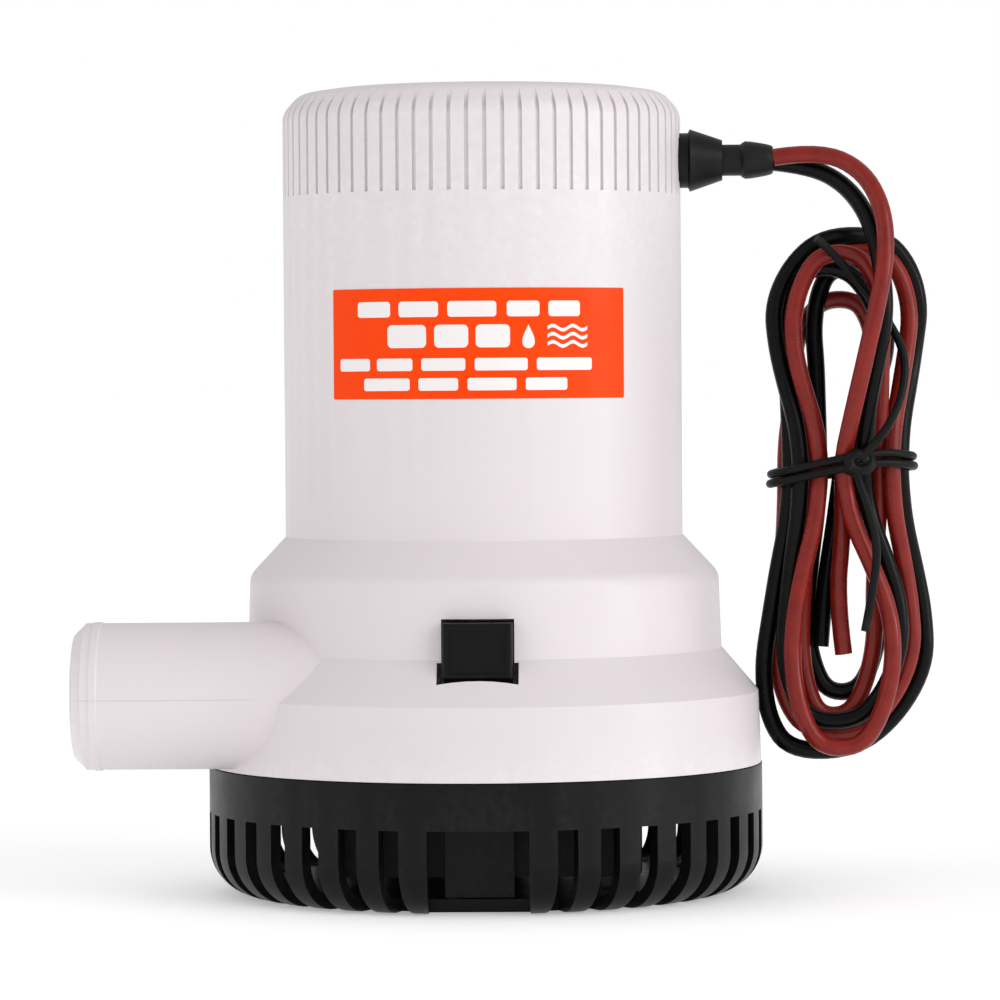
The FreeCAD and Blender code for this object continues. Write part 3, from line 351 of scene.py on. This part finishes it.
def half_turn(leave, back, left, right, end, lean):
    """Control points of one half turn of the hank, from the tie out to a loop and back."""
    middle = (left[0] + right[0]) / 2
    tie = TIE_HEIGHT / MM
    first, second = (right, left) if end < tie else (left, right)
    points = []
    for (x_tie, y_tie), (edge, depth), steps in ((leave, first, OPENING),
                                                 (back, second, OPENING[::-1])):
        for share, out in steps:
            inner = x_tie if share < MIDWAY else middle
            past = max(0.0, (share - MIDWAY) / (1 - MIDWAY))
            sink = min(1.0, share / DEPTH_REACHED)
            ease = sink * sink * (3 - 2 * sink)
            deep = depth + (first[1] + second[1] - 2 * depth) / 2 * past * MEETING
            points.append(((inner + (edge - inner) * out + lean * past ** LEAN_POWER) * MM,
                           (y_tie + (deep - y_tie) * ease) * MM,
                           (tie + (end - tie) * share) * MM))
    return points


def smooth_curve(name, points, width, cyclic=False):
    """A NURBS curve with those control points, as round wire."""
    data = bpy.data.curves.new(name, "CURVE")
    data.dimensions = "3D"
    data.resolution_u = 6
    data.bevel_depth = width / 2
    data.bevel_resolution = 5
    data.use_fill_caps = True
    spline = data.splines.new("NURBS")
    spline.points.add(len(points) - 1)
    for control, place in zip(spline.points, points):
        control.co = (*place, 1.0)
    spline.order_u = 3
    spline.use_endpoint_u = True
    spline.use_cyclic_u = cyclic
    piece = bpy.data.objects.new(name, data)
    bpy.context.scene.collection.objects.link(piece)
    return piece


# Each wire: its piece's name, its material, the lead, the half turns and the loose end
WIRES = [("wire_red", "red_wire", RED_LEAD, RED_TURNS, RED_TAIL),
         ("wire_black", "black_wire", BLACK_LEAD, BLACK_TURNS, BLACK_TAIL)]


def make_wires(materials):
    wires = []
    for name, color, lead, turns, tail in WIRES:
        points = list(lead)
        for turn in turns:
            points += half_turn(*turn)
        points += tail
        piece = smooth_curve(name, points, WIRE)
        wear(piece, materials[color])
        wires.append(piece)
    return wires


# ---------------------------------------------------------------- tie round the hank
TIE_CORD = 0.0017
TAIL_UP = [(0.0736, -0.0108, 0.0852), (0.0768, -0.0124, 0.0880), (0.0802, -0.0124, 0.0924),
           (0.0829, -0.0106, 0.0984), (0.0836, -0.0084, 0.1060), (0.0800, -0.0060, 0.1134),
           (0.0744, -0.0058, 0.1202), (0.0698, -0.0076, 0.1258), (0.0660, -0.0094, 0.1290)]
TAIL_DOWN = [(0.0730, -0.0106, 0.0846), (0.0742, -0.0124, 0.0806), (0.0762, -0.0120, 0.0752),
             (0.0778, -0.0106, 0.0676), (0.0768, -0.0098, 0.0598), (0.0752, -0.0094, 0.0516)]
# One turn of the tie round the bundle, from the knot: lowest at its left, highest at its right
TIE_LOOP = [(0.0728, -0.0112, 0.0849), (0.0655, -0.0080, 0.0834), (0.0605, -0.0068, 0.0822),
            (0.0572, -0.0034, 0.0815), (0.0568, 0.0012, 0.0813), (0.0582, 0.0052, 0.0817),
            (0.0635, 0.0068, 0.0824), (0.0710, 0.0060, 0.0832), (0.0790, 0.0036, 0.0840),
            (0.0845, 0.0012, 0.0846), (0.0858, -0.0022, 0.0848), (0.0840, -0.0066, 0.0852),
            (0.0786, -0.0096, 0.0858)]


# The two turns: how far each is lifted, and how wide it is against TIE_LOOP
TIE_TURNS = [(-0.0008, 1.0), (0.0011, 0.985)]
HANK_MIDDLE = 0.071
KNOT_AT = (0.0736, -0.0104, 0.0849)
KNOT_SIZE = (0.0019, 0.0012, 0.0016)
KNOT_CORD = 1.4 * TIE_CORD
KNOT_TURNS = 2.1
KNOT_POINTS = 30
KNOT_SHIFT = 0.00008        # along X from one point to the next


def knot_points():
    """The twist that closes the tie: upright rings that drift along X and sway in depth."""
    points = []
    for step in range(KNOT_POINTS):
        angle = step / (KNOT_POINTS - 1) * KNOT_TURNS * 2 * math.pi
        shift = (step - KNOT_POINTS / 2) * KNOT_SHIFT
        points.append((KNOT_AT[0] + KNOT_SIZE[0] * math.cos(angle) + shift,
                       KNOT_AT[1] + KNOT_SIZE[1] * math.sin(angle * 0.5),
                       KNOT_AT[2] + KNOT_SIZE[2] * math.sin(angle)))
    return points


def make_tie(materials):
    """A plastic-covered wire twisted round the hank: two turns, a knot and two tails."""
    parts = []
    for number, (lift, spread) in enumerate(TIE_TURNS):
        points = [(HANK_MIDDLE + (x - HANK_MIDDLE) * spread, y * spread, z + lift)
                  for x, y, z in TIE_LOOP]
        parts.append(smooth_curve(f"tie_turn_{number}", points, TIE_CORD, cyclic=True))
    parts.append(smooth_curve("tie_knot", knot_points(), KNOT_CORD))
    parts.append(smooth_curve("tie_tail_up", TAIL_UP, TIE_CORD))
    parts.append(smooth_curve("tie_tail_down", TAIL_DOWN, TIE_CORD))
    for part in parts:
        wear(part, materials["tie_plastic"])
    return parts


# ---------------------------------------------------------------- gland sleeve
# (x, half width along Y, half height along Z) from inside the nut to the mouth, in mm
SLEEVE_RINGS = [(31.0, 3.1, 3.1), (50.6, 3.1, 3.1), (51.4, 3.2, 3.1), (51.9, 3.9, 3.5),
                (52.4, 4.15, 3.75), (53.6, 4.15, 3.65), (54.9, 4.05, 3.45), (56.3, 3.9, 3.2),
                (57.3, 3.75, 2.95), (57.8, 3.5, 2.7), (57.9, 3.1, 2.3)]
SLEEVE_AROUND = 48


def make_sleeve(materials):
    """The rubber sleeve: round in the nut, then an oval collar that the two wires leave."""
    low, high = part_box("gland_sleeve")
    axis_z = (low.z + high.z) / 2
    mesh = bmesh.new()
    loops = []
    for x, half_y, half_z in SLEEVE_RINGS:
        loop = []
        for step in range(SLEEVE_AROUND):
            angle = 2 * math.pi * step / SLEEVE_AROUND
            loop.append(mesh.verts.new((x * MM, half_y * MM * math.cos(angle),
                                        axis_z + half_z * MM * math.sin(angle))))
        loops.append(loop)
    for first, second in zip(loops, loops[1:]):
        for step in range(SLEEVE_AROUND):
            ahead = (step + 1) % SLEEVE_AROUND
            mesh.faces.new((first[step], first[ahead], second[ahead], second[step]))
    mesh.faces.new(loops[0][::-1])
    mesh.faces.new(loops[-1])
    sleeve = new_mesh("gland_sleeve_oval", mesh)
    smooth(sleeve)
    wear(sleeve, materials["gland_rubber"])
    return sleeve


# ---------------------------------------------------------------- label
FILM = 0.0001
FILM_CORNER = 0.0004
FILM_HALF_ANGLE = math.radians(45)
FILM_STRIPS = 24
INK = 0.00004
BAR_CORNER = 0.22           # of the bar's height
BAR_STRIPS = 6
CORNER_STEPS = 6
# Centre height from the label's middle and bar height, then (start, end) of each bar, in mm
LABEL_ROWS = [
    (6.6, 3.0, [(-24.6, -17.2), (-15.4, -7.4), (-5.6, 3.8), (5.8, 12.2), (14.0, 20.6)]),
    (1.4, 4.4, [(-17.8, -9.8), (-8.2, -1.6), (-0.2, 6.4)]),
    (-4.0, 2.4, [(-29.2, -21.8), (-20.2, -12.6), (-10.8, -2.2), (-0.4, 9.8), (11.6, 23.2)]),
    (-7.8, 2.4, [(-23.2, -13.2), (-11.4, -3.6), (-1.8, 7.6), (9.4, 17.8)]),
]
# The pictograms, in mm about the label's middle
DROP_AT = (10.0, 1.3)
DROP_HALF = (1.75, 2.3)
DROP_POINTS = 28
DROP_TAPER = 1.5            # how slender its upper part is
WAVES = 3
WAVES_AT = (13.8, 2.9)      # the left end of the top one
WAVES_APART = 1.55
WAVE_LENGTH = 8.4
WAVE_RISE = 0.42
WAVE_HALF_LINE = 0.34
WAVE_STEPS = 20
WAVE_CRESTS = 2


def bent_plate(outline, cuts, radius, thick):
    """A thin plate bent round the pump's axis.

    outline is (across, up) points in metres, across being the arc length from the front. The
    plate is cut into upright strips at the places in cuts, so that it can bend smoothly.
    """
    mesh = bmesh.new()
    mesh.faces.new([mesh.verts.new((across, 0, up)) for across, up in outline])
    for cut in cuts:
        bmesh.ops.bisect_plane(mesh, geom=mesh.verts[:] + mesh.edges[:] + mesh.faces[:],
                               plane_co=(cut, 0, 0), plane_no=(1, 0, 0))
    solid = bmesh.ops.extrude_face_region(mesh, geom=mesh.faces[:])
    raised = {item for item in solid["geom"] if isinstance(item, bmesh.types.BMVert)}
    for vertex in mesh.verts:
        turn = vertex.co.x / radius
        reach = radius + (thick if vertex in raised else 0.0)
        vertex.co = (reach * math.sin(turn), -reach * math.cos(turn), vertex.co.z)
    bmesh.ops.recalc_face_normals(mesh, faces=mesh.faces[:])
    return mesh


def bent_panel(left, right, bottom, top, corner, strips, radius, thick):
    """A bent plate that is a rectangle with round corners."""
    outline = []
    for across, up, start in ((right, top, 0), (left, top, 90), (left, bottom, 180),
                              (right, bottom, 270)):
        centre_across = across - math.copysign(corner, across - (left + right) / 2)
        centre_up = up - math.copysign(corner, up - (bottom + top) / 2)
        for step in range(CORNER_STEPS + 1):
            angle = math.radians(start + 90 / CORNER_STEPS * step)
            outline.append((centre_across + corner * math.cos(angle),
                            centre_up + corner * math.sin(angle)))
    cuts = [left + (right - left) * step / strips for step in range(1, strips)]
    return bent_plate(outline, cuts, radius, thick)


def water_drop():
    outline = []
    for step in range(DROP_POINTS):
        angle = 2 * math.pi * step / DROP_POINTS
        pinch = math.sin(angle / 2) ** DROP_TAPER
        outline.append((DROP_AT[0] + DROP_HALF[0] * math.sin(angle) * pinch,
                        DROP_AT[1] + DROP_HALF[1] * math.cos(angle)))
    return outline


def wave(number):
    """One of the waves, counted from the top."""
    top, under = [], []
    for step in range(WAVE_STEPS + 1):
        across = WAVES_AT[0] + WAVE_LENGTH * step / WAVE_STEPS
        phase = 2 * math.pi * WAVE_CRESTS * step / WAVE_STEPS
        up = WAVES_AT[1] - WAVES_APART * number + WAVE_RISE * math.sin(phase)
        top.append((across, up + WAVE_HALF_LINE))
        under.append((across, up - WAVE_HALF_LINE))
    return top + under[::-1]


def make_label(materials):
    """The film and its generic print: plain bars, a drop and three waves in place of words."""
    low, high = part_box("label")
    radius = -low.y
    half = radius * FILM_HALF_ANGLE
    middle = (low.z + high.z) / 2
    film = new_mesh("label_film", bent_panel(-half, half, low.z, high.z, FILM_CORNER,
                                             FILM_STRIPS, radius - FILM, FILM))
    smooth(film)
    wear(film, materials["label_film"])
    print_mesh = bmesh.new()

    def stamp(mesh):
        data = bpy.data.meshes.new("stamp")
        mesh.to_mesh(data)
        mesh.free()
        print_mesh.from_mesh(data)
        bpy.data.meshes.remove(data)

    for centre, height, bars in LABEL_ROWS:
        for start, end in bars:
            stamp(bent_panel(start * MM, end * MM, middle + (centre - height / 2) * MM,
                             middle + (centre + height / 2) * MM, height * BAR_CORNER * MM,
                             BAR_STRIPS, radius, INK))
    for outline in [water_drop()] + [wave(number) for number in range(WAVES)]:
        placed = [(across * MM, middle + up * MM) for across, up in outline]
        stamp(bent_plate(placed, (), radius, INK))
    ink = new_mesh("label_print", print_mesh)
    smooth(ink)
    wear(ink, materials["label_ink"])
    return film, ink


# ---------------------------------------------------------------- carried-over CAD nodes
# How wide the small rounds on the moulded nodes' edges are, in mm
EDGE_ROUNDS = {"top_cap": 0.12, "strainer_base": 0.35, "latch_front": 0.2, "latch_rear": 0.2,
               "gland_nut": 0.2, "main_casing": 0.35, "impeller": 0.2, "volute_cover": 0.2}
ROUNDED_ANGLE = math.radians(32)


def dress_nodes(materials):
    """Each CAD node gets its record's finish, and moulded ones a small round on their edges."""
    for part in frame["record"]["subparts"]:
        node = frame["nodes"][part["node"]]
        wear(node, materials[part["material_slot"]])
        if part["node"] in EDGE_ROUNDS:
            bevel = node.modifiers.new("rounded_edges", "BEVEL")
            bevel.width = EDGE_ROUNDS[part["node"]] * MM
            bevel.segments = 2
            bevel.limit_method = "ANGLE"
            bevel.angle_limit = ROUNDED_ANGLE
            bevel.harden_normals = True


# ---------------------------------------------------------------- room
FLOOR_HALF = 30
FLOOR_GLOW = 0.32
WORLD_COLOR = (1.0, 0.985, 0.99, 1)
WORLD_STRENGTH = 0.63
WHITE = (1, 1, 1, 1)
# Name, where it shines from, strength, softness in degrees
SUNS = [("key_sun", (0.80, -0.66, 0.45), 0.88, 40),
        ("edge_sun", (0.95, -0.29, 0.06), 0.45, 14),
        ("fill_sun", (-0.90, -0.35, 0.35), 0.40, 60)]
CAMERA_AT = Vector((0.029, -0.9786, 0.1006))
CAMERA_AIM = Vector((0.0032, 0.0001, 0.0777))
CAMERA_ROLL = math.radians(-0.41)


def make_floor():
    mesh = bmesh.new()
    bmesh.ops.create_grid(mesh, x_segments=1, y_segments=1, size=FLOOR_HALF)
    floor = new_mesh("floor", mesh)
    paper = Nodes("floor_paper")
    tint = paper.blotches((0.93, 0.93, 0.93), (0.95, 0.95, 0.95), cells=4, detail=3)
    roughness = paper.spread(paper.noise(cells=60, detail=3), 0.8, 0.9)
    wear(floor, paper.finish(tint, roughness, Emission_Color=WHITE, Emission_Strength=FLOOR_GLOW))


def make_world():
    """Even light from all round, and plain white where the camera sees past the floor."""
    world = bpy.data.worlds.new("studio")
    world.use_nodes = True
    tree = world.node_tree
    seen = tree.nodes.new("ShaderNodeLightPath").outputs["Is Camera Ray"]
    backdrop = tree.nodes.new("ShaderNodeBackground")
    backdrop.inputs["Color"].default_value = WHITE
    light = tree.nodes["Background"]
    light.inputs["Color"].default_value = WORLD_COLOR
    light.inputs["Strength"].default_value = WORLD_STRENGTH
    blend = tree.nodes.new("ShaderNodeMixShader")
    tree.links.new(seen, blend.inputs[0])
    tree.links.new(light.outputs[0], blend.inputs[1])
    tree.links.new(backdrop.outputs[0], blend.inputs[2])
    tree.links.new(blend.outputs[0], tree.nodes["World Output"].inputs["Surface"])
    bpy.context.scene.world = world


def make_suns():
    for name, source, strength, soft in SUNS:
        data = bpy.data.lights.new(name, "SUN")
        data.energy = strength
        data.angle = math.radians(soft)
        lamp = bpy.data.objects.new(name, data)
        lamp.rotation_mode = "QUATERNION"
        lamp.rotation_quaternion = (-Vector(source)).to_track_quat("-Z", "Y")
        bpy.context.scene.collection.objects.link(lamp)


def make_camera():
    data = bpy.data.cameras.new("camera")
    data.lens = 177.0
    data.sensor_width = 36.0
    data.clip_start = 0.05
    data.clip_end = 50
    camera = bpy.data.objects.new("camera", data)
    camera.location = CAMERA_AT
    camera.rotation_mode = "QUATERNION"
    facing = (CAMERA_AIM - CAMERA_AT).to_track_quat("-Z", "Y")
    camera.rotation_quaternion = facing @ Quaternion((0, 0, 1), CAMERA_ROLL)
    bpy.context.scene.collection.objects.link(camera)
    bpy.context.scene.camera = camera
    bpy.context.scene.view_settings.view_transform = "Standard"


# ---------------------------------------------------------------- assembly
materials = make_materials()
dress_nodes(materials)
film, ink = make_label(materials)
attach(film, "pump")
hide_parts("label")
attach(ink, "pump")
sleeve = make_sleeve(materials)
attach(sleeve, "pump")
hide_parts("gland_sleeve")
ties = make_tie(materials)
for tie in ties:
    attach(tie, "pump")
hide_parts("hank_tie")
wires = make_wires(materials)
for wire, lead, color, exit_at in zip(wires, ("lead_red", "lead_black"),
                                      ("red_wire", "black_wire"), (RED_LEAD[0], BLACK_LEAD[0])):
    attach(wire, "pump")
    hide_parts(lead, "wire_hank")
make_floor()
make_world()
make_suns()
make_camera()
